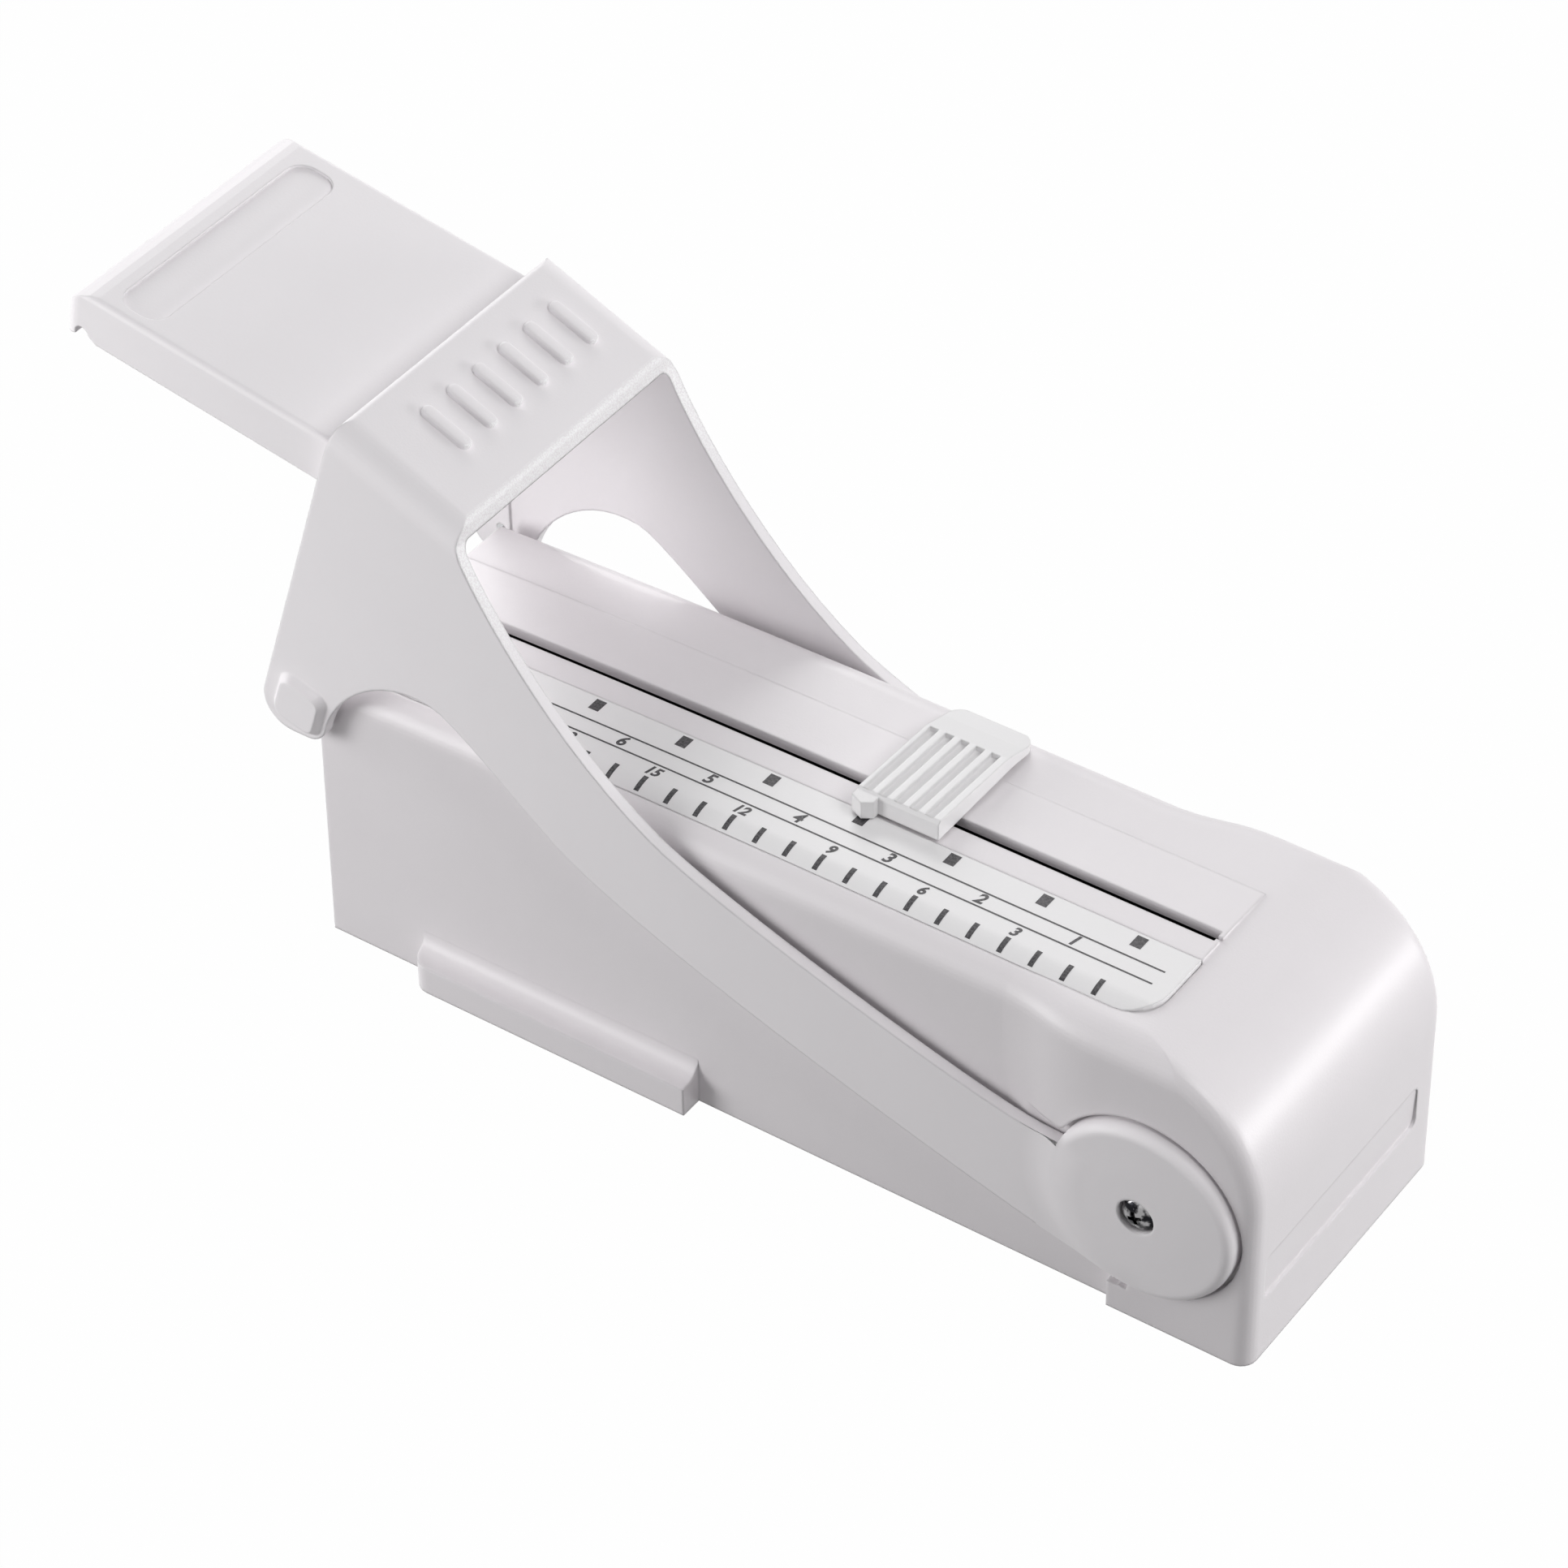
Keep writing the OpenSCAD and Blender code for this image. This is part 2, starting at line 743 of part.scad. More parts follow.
// Side outline of the press lever without its round ends
module lever_2d() {
    bar_rear_z = bar_z - bar_l * tan(bar_slope);
    x = x_out;
    xp = pivot_x;
    zp = pivot_z;
    polygon(concat(
        arc(bar_x + 0.74, bar_z - 1.64, 1.2, 66, 162, 5),
        arc(x - 2.65, 43.7, 4.9, 166, 270, 9),
        arc(x + 0.15, 42.2, 3.4, 270, 340, 6),
        bez([x + 3.45, 41.3], [x + 4.65, 47.3], [x + 12.95, 57.3], [x + 23.45, 55.3], 14),
        bez([x + 23.45, 55.3], [x + 26.85, 54.7], [x + 37.35, 45.2], [x + 44.45, 39.7], 8),
        bez([x + 44.45, 39.7], [x + 59.75, 28.3], [xp - 21, zp - 11.4], [xp - 9.4, zp - 13.6], 16),
        [[xp - 2, zp - disc_r + 0.14], [xp, zp], [xp - 12.8, zp + 5.3]],
        bez([xp - 17.5, zp + 5.6], [xp - 27.6, zp + 6.3], [x + 70.65, 42.6], [x + 61.55, 48.4], 16),
        bez([x + 61.55, 48.4], [x + 43.65, 59.7], [x + 31.65, 80], [bar_end, 86], 14),
        arc(bar_end - 1.3, bar_rear_z - 0.9, 1.3, 0, 66, 4)));
}

// Cross section of the yoke: press bar above, arms down both sides
module yoke_2d() {
    deep = 140;
    difference() {
        arch_2d(arm_half, bar_r, -deep, 0);
        arch_2d(arm_in, 1.5, -deep - 1, -bar_t);
    }
}

// The yoke: the side outline cut out of the sloping U section
module yoke() {
    intersection() {
        along_y(-arm_half - 1, arm_half + 1)
            lever_2d();
        translate([bar_x, 0, bar_z])
            rotate([0, bar_slope, 0])
                along_x(-80, 190)
                    yoke_2d();
    }
}

// One round end of an arm on the near side, with a gently domed face
module arm_end() {
    soft = 1.5;
    crown = 0.3;
    translate([pivot_x, -arm_in, pivot_z])
        rotate([90, 0, 0])
            rotate_extrude($fn = 96)
                polygon(concat(
                    [[0, 0], [disc_r, 0], [disc_r, arm_t + disc_out - soft]],
                    arc(disc_r - soft, arm_t + disc_out - soft, soft, 0, 84, 6),
                    [[disc_r * 0.5, arm_t + disc_out + crown * 0.7]],
                    [[0, arm_t + disc_out + crown]]));
}

// Soft slope where the near round end rises from the arm
module arm_neck() {
    r0 = disc_r - neck_l / 2;
    steps = 12;
    intersection() {
        translate([pivot_x, -arm_in, pivot_z])
            rotate([90, 0, 0])
                rotate_extrude($fn = 96)
                    polygon(concat(
                        [[r0, arm_t / 2], [r0 + neck_l, arm_t / 2]],
                        [for (i = [0:steps]) let (t = 1 - i / steps)
                            [r0 + neck_l * t, arm_t - 0.05 + disc_out * (1 + cos(180 * t)) / 2]]));
        along_y(-arm_half - disc_out - 1, -arm_in - arm_t / 4)
            lever_2d();
    }
}

// One boss and inner pad at an ear, where the wire is held
module ear_boss() {
    translate([boss_x, -arm_half, boss_z])
        rotate([90, ear_lean, 0])
            linear_extrude(boss_h, scale = 0.8)
                round_2d(-boss_w / 2, -boss_w / 2, boss_w / 2, boss_w / 2, 1.8);
    intersection() {
        along_y(-arm_in - 0.5, -pad_y)
            lever_2d();
        translate([x_out - 20, -arm_half, 0])
            cube([pad_x - x_out + 20, arm_half, wire_z + 9]);
    }
}

// Press lever: two arms, a sloping press bar and the ears that hold the wire
module press_lever() {
    color("white")
        difference() {
            union() {
                yoke();
                both_sides() {
                    arm_end();
                    arm_neck();
                    ear_boss();
                }
            }
            both_sides() {
                translate([pivot_x, 0, pivot_z])
                    rotate([90, 0, 0])
                        cylinder(h = arm_half + 5, d = shoulder_d + 2 * fit, $fn = 48);
                translate([pivot_x, -screw_seat + 0.1, pivot_z])
                    rotate([90, 0, 0])
                        cylinder(h = 5, d = head_d + 0.5, $fn = 48);
                translate([wire_x, 0, wire_z])
                    rotate([90, 0, 0])
                        cylinder(h = boss_face - 0.5, d = ferrule_d + 0.02, $fn = 32);
                translate([lid_x, 0, lid_z])
                    rotate([90, 0, 0])
                        cylinder(h = pin_end + 0.1, d = pin_d + 2 * fit, $fn = 32);
            }
        }
}

// Ferrules: one crimped on each end of the wire, set into the ear
module wire_ferrules() {
    color("silver")
        both_sides()
            translate([wire_x, -pad_y, wire_z])
                rotate([90, 0, 0])
                    difference() {
                        cylinder(h = boss_face - 0.6 - pad_y, d = ferrule_d, $fn = 32);
                        translate([0, 0, -1])
                            cylinder(h = boss_h + arm_t + 5, d = wire_d + 0.02, $fn = 32);
                    }
}

// Cutting wire: stretched between the ears
module cutting_wire() {
    reach = boss_face - 0.9;
    color("gray")
        translate([wire_x, reach, wire_z])
            rotate([90, 0, 0])
                cylinder(h = 2 * reach, d = wire_d, $fn = 24);
}

// Side outline of the lid, hinge at the origin and far end towards -X
module lid_side_2d() {
    polygon(concat(
        [[-lid_l, lid_low + 1.1]],
        arc(-lid_l + 0.9, lid_low + 0.3, 0.9, 180, 280, 5),
        [[-notch_s - notch_r + 0.1, lid_low + 0.1]],
        arc(-notch_s, notch_n, notch_r, 190, 10, 10),
        [[-notch_s + 2.6, lid_low]],
        arc(0, 0, -lid_low, -90, 30, 10),
        [[lid_tail, lid_up]],
        arc(lid_r - lid_l, lid_up - lid_r, lid_r, 90, 180, 6)));
}

// Inside of the lid between its flanges, open underneath
module lid_inside_2d() {
    polygon(concat(
        [[lid_t - lid_l, lid_low - 1], [6, lid_low - 1], [6, lid_up - lid_t]],
        arc(lid_r - lid_l, lid_up - lid_r, lid_r - lid_t, 90, 180, 4)));
}

// Lid: a shallow tray hinged under the press bar, folded up in the photograph
module lid() {
    inner = lid_half - 1.6;
    color("white")
        translate([lid_x, 0, lid_z])
            rotate([0, lid_slope, 0])
                difference() {
                    union() {
                        intersection() {
                            along_y(-lid_half, lid_half)
                                lid_side_2d();
                            along_x(-lid_l - 1, 8)
                                arch_2d(lid_half, 1, lid_low - 2, lid_up);
                            translate([0, 0, -20])
                                linear_extrude(40)
                                    round_2d(-lid_l, -lid_half, lid_l, lid_half, 2.5);
                        }
                        both_sides()
                            translate([0, inner + 0.5, 0])
                                rotate([-90, 0, 0])
                                    cylinder(h = pin_end - inner - 0.5, d = pin_d, $fn = 32);
                    }
                    along_y(-inner, inner)
                        lid_inside_2d();
                    translate([0, 0, lid_up - recess_t])
                        linear_extrude(3)
                            round_2d(
                                recess_back - lid_l, 2 - lid_half,
                                recess_back + recess_w - lid_l, lid_half - 3.2, 3);
                }
}

housing();
floor_tray();
scale_plate();
pivot_screws();
slider_thumb();
pusher();
press_lever();
wire_ferrules();
cutting_wire();
lid();
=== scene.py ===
# %% [markdown]
# # A butter slicer in white plastic
#
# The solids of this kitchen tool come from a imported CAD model: a long housing, a slider with a
# thumb grip, a press lever that carries a cutting wire, and a lid. This lesson dresses them:
# a camera and soft light first, then the moulded plastic, the steel, the printed scale and the
# raised grip on the press bar. Everything is in metres, with the table at z = 0.

# %% Load the solids
import math

import bmesh
import bpy
from mathutils import Matrix, Vector


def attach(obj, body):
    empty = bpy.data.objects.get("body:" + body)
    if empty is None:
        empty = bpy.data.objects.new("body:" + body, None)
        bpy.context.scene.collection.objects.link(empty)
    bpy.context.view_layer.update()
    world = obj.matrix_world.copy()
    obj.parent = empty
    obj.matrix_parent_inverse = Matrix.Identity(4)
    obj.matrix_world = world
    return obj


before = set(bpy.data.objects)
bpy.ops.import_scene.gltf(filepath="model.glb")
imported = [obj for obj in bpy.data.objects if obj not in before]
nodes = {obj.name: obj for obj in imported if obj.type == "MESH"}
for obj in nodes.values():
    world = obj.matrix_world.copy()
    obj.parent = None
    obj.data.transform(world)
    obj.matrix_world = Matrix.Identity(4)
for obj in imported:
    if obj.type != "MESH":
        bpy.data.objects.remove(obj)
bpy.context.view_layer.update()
MM = 0.001
print("solids:", sorted(nodes))

# %% [markdown]
# ## The camera
#
# The picture is taken with a long lens from the front right, well above the table. A camera's
# own axes are its right, its up and its backward direction, so the matrix is filled with those
# three and the place. A long lens keeps the far edges nearly parallel, as in a catalogue picture.
# Its focal length is known in pixels of the picture, and the width of the sensor turns it into mm.

# %% Camera
AZIMUTH = math.radians(35.354)
ELEVATION = math.radians(40.654)
ROLL = math.radians(-0.965)
CAMERA_PLACE = Vector((334.07, -490.47, 559.29)) * MM
SENSOR_WIDTH = 36
PICTURE_PIXELS = 1932
FOCAL_PIXELS = 6905.7
back = Vector((
    math.sin(AZIMUTH) * math.cos(ELEVATION),
    -math.cos(AZIMUTH) * math.cos(ELEVATION),
    math.sin(ELEVATION)))
level = Vector((math.cos(AZIMUTH), math.sin(AZIMUTH), 0))
above = back.cross(level)
right = level * math.cos(ROLL) + above * math.sin(ROLL)
up = above * math.cos(ROLL) - level * math.sin(ROLL)
lens = bpy.data.cameras.new("camera")
lens.sensor_width = SENSOR_WIDTH
lens.lens = SENSOR_WIDTH * FOCAL_PIXELS / PICTURE_PIXELS
camera = bpy.data.objects.new("camera", lens)
turn = Matrix((right, up, back)).transposed().to_4x4()
camera.matrix_world = Matrix.Translation(CAMERA_PLACE) @ turn
bpy.context.scene.collection.objects.link(camera)
bpy.context.scene.camera = camera
print("lens in mm:", round(lens.lens, 1))

# %% [markdown]
# ## Shader maths in plain Python
#
# Every finish below is a formula: a bit of noise, a mask, a mix. Wrapping a socket in a small
# class that overloads the operators lets the formula be read as one, while each operator adds
# its Math node. Everything else goes through one method that makes any node by its type.

# %% Shader helpers
class Value:
    """A number that a shader works out, usable in a Python expression."""

    def __init__(self, socket):
        self.socket = socket

    def maths(self, operation, other, swapped=False):
        """Add one Math node; swapped puts the other term first."""
        tree = self.socket.id_data
        step = tree.nodes.new("ShaderNodeMath")
        step.operation = operation
        for slot, term in zip(step.inputs, (other, self) if swapped else (self, other)):
            if isinstance(term, Value):
                tree.links.new(term.socket, slot)
            else:
                slot.default_value = term
        return Value(step.outputs[0])

    def __add__(self, other):
        return self.maths("ADD", other)

    def __radd__(self, other):
        return self.maths("ADD", other)

    def __sub__(self, other):
        return self.maths("SUBTRACT", other)

    def __rsub__(self, other):
        return self.maths("SUBTRACT", other, True)

    def __mul__(self, other):
        return self.maths("MULTIPLY", other)

    def __rmul__(self, other):
        return self.maths("MULTIPLY", other)

    def __truediv__(self, other):
        return self.maths("DIVIDE", other)

    def __rtruediv__(self, other):
        return self.maths("DIVIDE", other, True)

    def __gt__(self, other):
        return self.maths("GREATER_THAN", other)

    def __lt__(self, other):
        return self.maths("LESS_THAN", other)


class Finish:
    """One material, with a method that adds any node to it."""

    def __init__(self, owner):
        if isinstance(owner, str):
            owner = bpy.data.materials.new(owner)
        owner.use_nodes = True
        self.material = owner
        self.tree = owner.node_tree
        self.tree.nodes.clear()

    def node(self, kind, settings=None, inputs=None, output=0):
        """Add a node by its type, its settings, and the values or links of its sockets."""
        made = self.tree.nodes.new("ShaderNode" + kind)
        for name, value in (settings or {}).items():
            if name == "stops":
                ramp = made.color_ramp
                for stop, (place, tone) in zip((ramp.elements[0], ramp.elements[1]), value):
                    stop.position = place
                    stop.color = (tone, tone, tone, 1)
            else:
                setattr(made, name, value)
        for name, value in (inputs or {}).items():
            slot = next(i for i in made.inputs if name in (i.identifier, i.name))
            if isinstance(value, Value):
                self.tree.links.new(value.socket, slot)
            else:
                slot.default_value = value
        if isinstance(output, str):
            return Value(next(o for o in made.outputs if output in (o.identifier, o.name)))
        return Value(made.outputs[output]) if len(made.outputs) else made

    def position(self):
        """The x, y and z of a point on the object, in metres."""
        place = self.node("TexCoord", output="Object")
        return [self.node("SeparateXYZ", {}, {"Vector": place}, axis) for axis in "XYZ"]

    def step(self, value, start, end):
        """0 below the start, 1 past the end, and a smooth S-curve between them."""
        return self.node(
            "MapRange", {"interpolation_type": "SMOOTHSTEP"},
            {"Value": value, "From Min": start, "From Max": end}, "Result")

    def noise(self, size, detail=2.0, rough=0.5):
        """Cloudy noise from 0 to 1, whose blobs are about that size."""
        place = self.node("TexCoord", output="Object")
        return self.node(
            "TexNoise", {"noise_dimensions": "3D"},
            {"Vector": place, "Scale": 1 / size, "Detail": detail, "Roughness": rough}, "Fac")

    def tint(self, factor, low, high):
        """A colour between two, the low one at 0 and the high one at 1."""
        low, high = (c if isinstance(c, Value) else (*c, 1) for c in (low, high))
        return self.node(
            "Mix", {"data_type": "RGBA"},
            {"Factor_Float": factor, "A_Color": low, "B_Color": high}, "Result_Color")

    def surface(self, inputs, black=None):
        """Finish off the material, painted plain black as shade where the second value is 1."""
        shader = self.node("BsdfPrincipled", {}, inputs)
        if black:
            # Plain black where little light reaches: a painted shade.
            painted_black_shade = self.node("BsdfDiffuse", {}, {"Color": (0.003, 0.003, 0.003, 1)})
            shader = self.node("MixShader", {}, {
                "Fac": black, "Shader": shader, "Shader_001": painted_black_shade})
        self.node("OutputMaterial", {}, {"Surface": shader})
        return self.material


print("helpers ready")

# %% [markdown]
# ## Moulded plastic
#
# The body is injection moulded in a stiff white plastic. Its faces are lightly grained by the
# mould, and every edge is a little round and a little smoother, where hands polish it. The edges
# are also painted a little lighter, a painted highlight along every edge. The solids have sharp
# edges, so the Bevel node rounds their shading. The difference between the rounded and the true
# normal is also a ready-made mask for the edges.
#
# One recipe makes every plastic here. It takes up to three functions for places that need more: one
# that paints shade black, one that softens the shading, and one that paints glints on a rim.

# %% One recipe for moulded plastic
CLOUD_SIZE = 14 * MM
WAVE_SIZE = 30 * MM
WAVE_DEPTH = 0.2 * MM
GLINT_SIZE = 0.24 * MM
GLINT_HEIGHT = 4.0
PAINTED_GLINT_WHITE = (0.99, 0.985, 0.99)
BRIGHTEST = 0.92


def moulded(name, colour, shade, rough, edge, grain, grain_depth,
            dark=None, soften=None, rim=None):
    """White plastic: colour and its darker shade, roughness, edge radius, grain size and depth."""
    finish = Finish(name)
    rounded = finish.node("Bevel", {"samples": 6}, {"Radius": edge})
    true = finish.node("NewGeometry", output="Normal")
    level = finish.node(
        "VectorMath", {"operation": "DOT_PRODUCT"},
        {"Vector": rounded, "Vector_001": true}, "Value")
    edge_wear_and_sheen = finish.node(
        "ValToRGB", {"stops": ((0.01, 0), (0.22, 1))}, {"Fac": 1 - level})
    cloud = finish.noise(CLOUD_SIZE, 3)
    speck = finish.noise(grain, 2, 0.6)
    tone = finish.tint(0.65 * cloud + 0.35 * speck, shade, colour)
    # Every edge is painted a little lighter, a painted highlight; the lower roughness at the edges
    # is real polish.
    bright = finish.tint(0.3 * edge_wear_and_sheen, tone, [min(BRIGHTEST, c * 1.06) for c in colour])
    if soften:
        rounded = soften(finish, rounded)
    waves = finish.noise(WAVE_SIZE, 1)
    soft = finish.node("Bump", {}, {
        "Strength": 0.25, "Distance": WAVE_DEPTH, "Height": waves, "Normal": rounded})
    height = speck
    if rim:
        glint = finish.noise(GLINT_SIZE, 1, 0.4)
        height = speck + GLINT_HEIGHT * rim(finish) * glint
        # Painted glints: white specks on the rim, a painted highlight.
        bright = finish.tint(rim(finish) * finish.step(glint, 0.4, 0.6), bright, PAINTED_GLINT_WHITE)
    skin = finish.node("Bump", {}, {
        "Strength": 0.5, "Distance": grain_depth, "Height": height, "Normal": soft})
    # Where a painted shade is given, the surface turns plain black.
    return finish.surface({
        "Base Color": bright,
        "Roughness": rough + 0.1 * speck - 0.06 * edge_wear_and_sheen,
        "Specular IOR Level": 0.5,
        "Normal": skin}, dark(finish) if dark else None)


print("recipe ready, with grain, waves and polished edges")

# %% [markdown]
# ## The dark slot
#
# The slot in the top is seen as a thin black line with a grey wall above it. The renderer could be
# left to darken it, but the hollow inside is white and sends much light back. So the walls are
# painted plain black below a set height, a painted shade for the little light that gets in. That
# height follows the top, which bows down towards the outlet on a large circle: at a distance x, a
# circle of radius R has sunk by x * x / 2R.

# %% The painted shade on the walls of the slot
SLOT_HALF = 1.2 * MM
SLOT_END = 58 * MM
SLOT_FLOOR = 42 * MM
SLOT_DARK_Z = 48.4 * MM
SLOT_FADE = 0.12 * MM
BOW_RADIUS = 1912 * MM


def slot_painted_shade(finish):
    """1 where the slot's walls are painted black as shade, well below the top, which bows down
    towards the outlet.
    """
    x, y, z = finish.position()
    ahead = (x < 0) * x
    lip = SLOT_DARK_Z - ahead * ahead * (0.5 / BOW_RADIUS)
    side = finish.node("Math", {"operation": "ABSOLUTE"}, {"Value": y})
    inside = (side < SLOT_HALF) * (x < SLOT_END) * (z > SLOT_FLOOR)
    return inside * finish.step(lip - z, 0, SLOT_FADE)


print("slot turns black below, in mm:", round(SLOT_DARK_Z / MM, 2))

# %% [markdown]
# ## Soft necks
#
# The arms end in thicker round ends. The solid has a rim all round them, but the real moulding
# swells out of the arm in one soft slope. The solids stay as they are, so only the shading is
# laid along such a slope, on the side that faces the arm. Its steepness is half a sine wave:
# none where it leaves the round end, most in the middle, none where it meets the arm.

# %% The soft necks of the arms
PIVOT_X = 62.5 * MM
PIVOT_Z = 22 * MM
ARM_FACE = 25.8 * MM
NECK_START = 9.5 * MM
NECK_LENGTH = 10 * MM
NECK_STEEP = 0.22
NECK_TOWARDS = (-0.866, -0.5)
NECK_BEFORE = 2 * MM
NECK_AFTER = 1 * MM
SECTOR_START = 0.35
SECTOR_FULL = 0.6


def neck_normals(finish, rounded):
    """Lay the shading of one long soft slope over the side of each round end that faces its arm."""
    x, y, z = finish.position()
    dx = x - PIVOT_X
    dz = z - PIVOT_Z
    away = finish.node("Math", {"operation": "SQRT"}, {"Value": dx * dx + dz * dz})
    phase = (away - NECK_START) * (math.pi / NECK_LENGTH)
    turn = finish.node("Math", {"operation": "SINE"}, {"Value": phase})
    tilt = (away > NECK_START) * (away < NECK_START + NECK_LENGTH) * turn * NECK_STEEP / away
    side = finish.node("Math", {"operation": "SIGN"}, {"Value": y})
    slope = finish.node("CombineXYZ", {}, {"X": dx * tilt, "Y": side, "Z": dz * tilt}, "Vector")
    towards = (dx * NECK_TOWARDS[0] + dz * NECK_TOWARDS[1]) / away
    sector = finish.step(towards, SECTOR_START, SECTOR_FULL)
    outside = finish.node("Math", {"operation": "ABSOLUTE"}, {"Value": y}) > ARM_FACE
    near = finish.step(away, NECK_START - NECK_BEFORE, NECK_START)
    within = away < NECK_START + NECK_LENGTH + NECK_AFTER
    return finish.node("Mix", {"data_type": "VECTOR"}, {
        "Factor_Float": sector * outside * near * within,
        "A_Vector": rounded, "B_Vector": slope}, "Result_Vector")


print("necks end at, in mm from the pivot:", round((NECK_START + NECK_LENGTH) / MM, 2))

# %% [markdown]
# ## The rim of the bar
#
# The mould leaves the rear rim of the press bar coarser than the rest, and the inner edges of the
# arms below it too. There, white specks are painted in as glints, a painted highlight on the faces
# turned towards the light from the right. A mask by height and by the direction of the surface
# finds them.

# %% The coarse rim of the bar, with painted glints
RIM_START = 62 * MM
RIM_FULL = 84 * MM
FACING_START = 0.42
FACING_FULL = 0.7


def bar_rim(finish):
    """1 on the rounded rear rim of the press bar and the arms' edges below it, with painted glints.
    """
    normal = finish.node("NewGeometry", output="Normal")
    facing = finish.node("SeparateXYZ", {}, {"Vector": normal}, "X")
    z = finish.position()[2]
    return finish.step(facing, FACING_START, FACING_FULL) * finish.step(z, RIM_START, RIM_FULL)


print("rim is bright between, in mm:", round(RIM_START / MM), round(RIM_FULL / MM))

# %% [markdown]
# ## A plastic for each moulding
#
# The mouldings differ in how they are polished. The lever and the lid are painted a little lighter
# than the housing, a painted light for how brightly they are lit; the scale plate and the thumb
# grip are the smoothest, and the tray is matt. Each takes two colours, its roughness, the radius of
# its edges, and the size and depth of its grain.

# %% All the plastics
HOUSING_WHITES = (0.84, 0.810, 0.828), (0.785, 0.752, 0.772)
# The lever and the lid share this lighter white: painted light, for how brightly they are lit.
LEVER_WHITES_PAINTED_LIGHTER = (0.91, 0.882, 0.90), (0.865, 0.837, 0.855)
plastics = {
    "housing": moulded(
        "plastic_housing", *HOUSING_WHITES, rough=0.31, edge=0.7 * MM,
        grain=0.35 * MM, grain_depth=0.03 * MM, dark=slot_painted_shade),
    "press_lever": moulded(
        "plastic_lever", *LEVER_WHITES_PAINTED_LIGHTER, rough=0.42, edge=0.6 * MM,
        grain=0.35 * MM, grain_depth=0.03 * MM, soften=neck_normals, rim=bar_rim),
    "lid": moulded(
        "plastic_lid", *LEVER_WHITES_PAINTED_LIGHTER, rough=0.44, edge=0.35 * MM,
        grain=0.4 * MM, grain_depth=0.03 * MM),
    "slider_thumb": moulded(
        "plastic_thumb", (0.86, 0.85, 0.855), (0.81, 0.80, 0.805), rough=0.3, edge=0.35 * MM,
        grain=0.5 * MM, grain_depth=0.015 * MM),
    "pusher": moulded(
        "plastic_pusher", (0.84, 0.83, 0.835), (0.79, 0.78, 0.785), rough=0.36, edge=0.3 * MM,
        grain=0.5 * MM, grain_depth=0.015 * MM),
    "scale_plate": moulded(
        "plastic_scale", (0.87, 0.86, 0.865), (0.83, 0.82, 0.825), rough=0.28, edge=0.35 * MM,
        grain=0.6 * MM, grain_depth=0.01 * MM),
    "floor_tray": moulded(
        "plastic_tray", (0.80, 0.79, 0.80), (0.76, 0.75, 0.76), rough=0.5, edge=0.3 * MM,
        grain=0.5 * MM, grain_depth=0.03 * MM),
}
print("plastics:", len(plastics))

# %% [markdown]
# ## Steel parts
#
# Two screws hold the lever, and a thin wire does the cutting. The screw heads are polished metal,
# painted near black in patches as a painted dark reflection, and pick up one bright patch of light.
# The wire and its ferrules are plain drawn steel, so fine lines along their length change how rough
# they look.

# %% Screws with painted dark reflections, and bright wire
def screw_metal():
    """Polished metal with small dents, painted black in places: a painted dark reflection."""
    finish = Finish("metal_screws")
    metal_patches = finish.noise(1.2 * MM, 3)
    pits = finish.noise(0.25 * MM, 2)
    rounded = finish.node("Bevel", {"samples": 6}, {"Radius": 0.15 * MM})
    dents = finish.node("Bump", {}, {
        "Strength": 0.3, "Distance": 0.02 * MM, "Height": pits, "Normal": rounded})
    # Near black in patches, a painted dark reflection; grey metal elsewhere.
    painted_reflection = finish.step(metal_patches, 0.42, 0.6)
    return finish.surface({
        "Base Color": finish.tint(painted_reflection, (0.012, 0.012, 0.014), (0.30, 0.295, 0.30)),
        "Metallic": 1.0,
        "Roughness": 0.12 + 0.2 * metal_patches,
        "Normal": dents})


def wire_metal():
    """Steel with fine lines along the wire, which runs across the object, along Y."""
    finish = Finish("metal_wire")
    place = finish.node("TexCoord", output="Object")
    drawn = finish.node("Mapping", {}, {"Vector": place, "Scale": (6000, 120, 6000)})
    lines = finish.node("TexNoise", {}, {"Vector": drawn, "Scale": 1.0, "Detail": 2.0}, "Fac")
    return finish.surface({
        "Base Color": finish.tint(lines, (0.50, 0.50, 0.51), (0.68, 0.68, 0.69)),
        "Metallic": 1.0,
        "Roughness": 0.22 + 0.18 * lines})


metals = {"pivot_screws": screw_metal()}
metals["wire_ferrules"] = metals["cutting_wire"] = wire_metal()
print("metal on:", sorted(metals))

# %% Dress the solids
for name, material in {**plastics, **metals}.items():
    for place in nodes[name].material_slots:
        place.material = material
    if not nodes[name].material_slots:
        nodes[name].data.materials.append(material)
print("dressed:", len(plastics) + len(metals), "solids")

# %% [markdown]
# ## Making a piece
#
# New pieces are built in a bmesh, with operators only. The same few lines then turn the bmesh
# into an object: merge doubles, recalculate normals, give it a finish, and let it ride on the
# body that carries it. Its place is in its mesh, so that the object itself sits at the origin.

# %% From a bmesh to an object
SHARP_ANGLE = math.radians(35)


def piece(name, bm, material, body):
    """Make an object of a bmesh, smooth but for its sharp edges, and let it ride on a body."""
    bmesh.ops.remove_doubles(bm, verts=bm.verts, dist=0.001 * MM)
    bmesh.ops.recalc_face_normals(bm, faces=bm.faces)
    mesh = bpy.data.meshes.new(name)
    bm.to_mesh(mesh)
    bm.free()
    mesh.materials.append(material)
    mesh.shade_smooth()
    mesh.set_sharp_from_angle(angle=SHARP_ANGLE)
    made = bpy.data.objects.new(name, mesh)
    bpy.context.scene.collection.objects.link(made)
    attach(made, body)
    print(name, "faces:", len(mesh.polygons), "rides on", body)


print("edges stay sharp above, in degrees:", round(math.degrees(SHARP_ANGLE)))

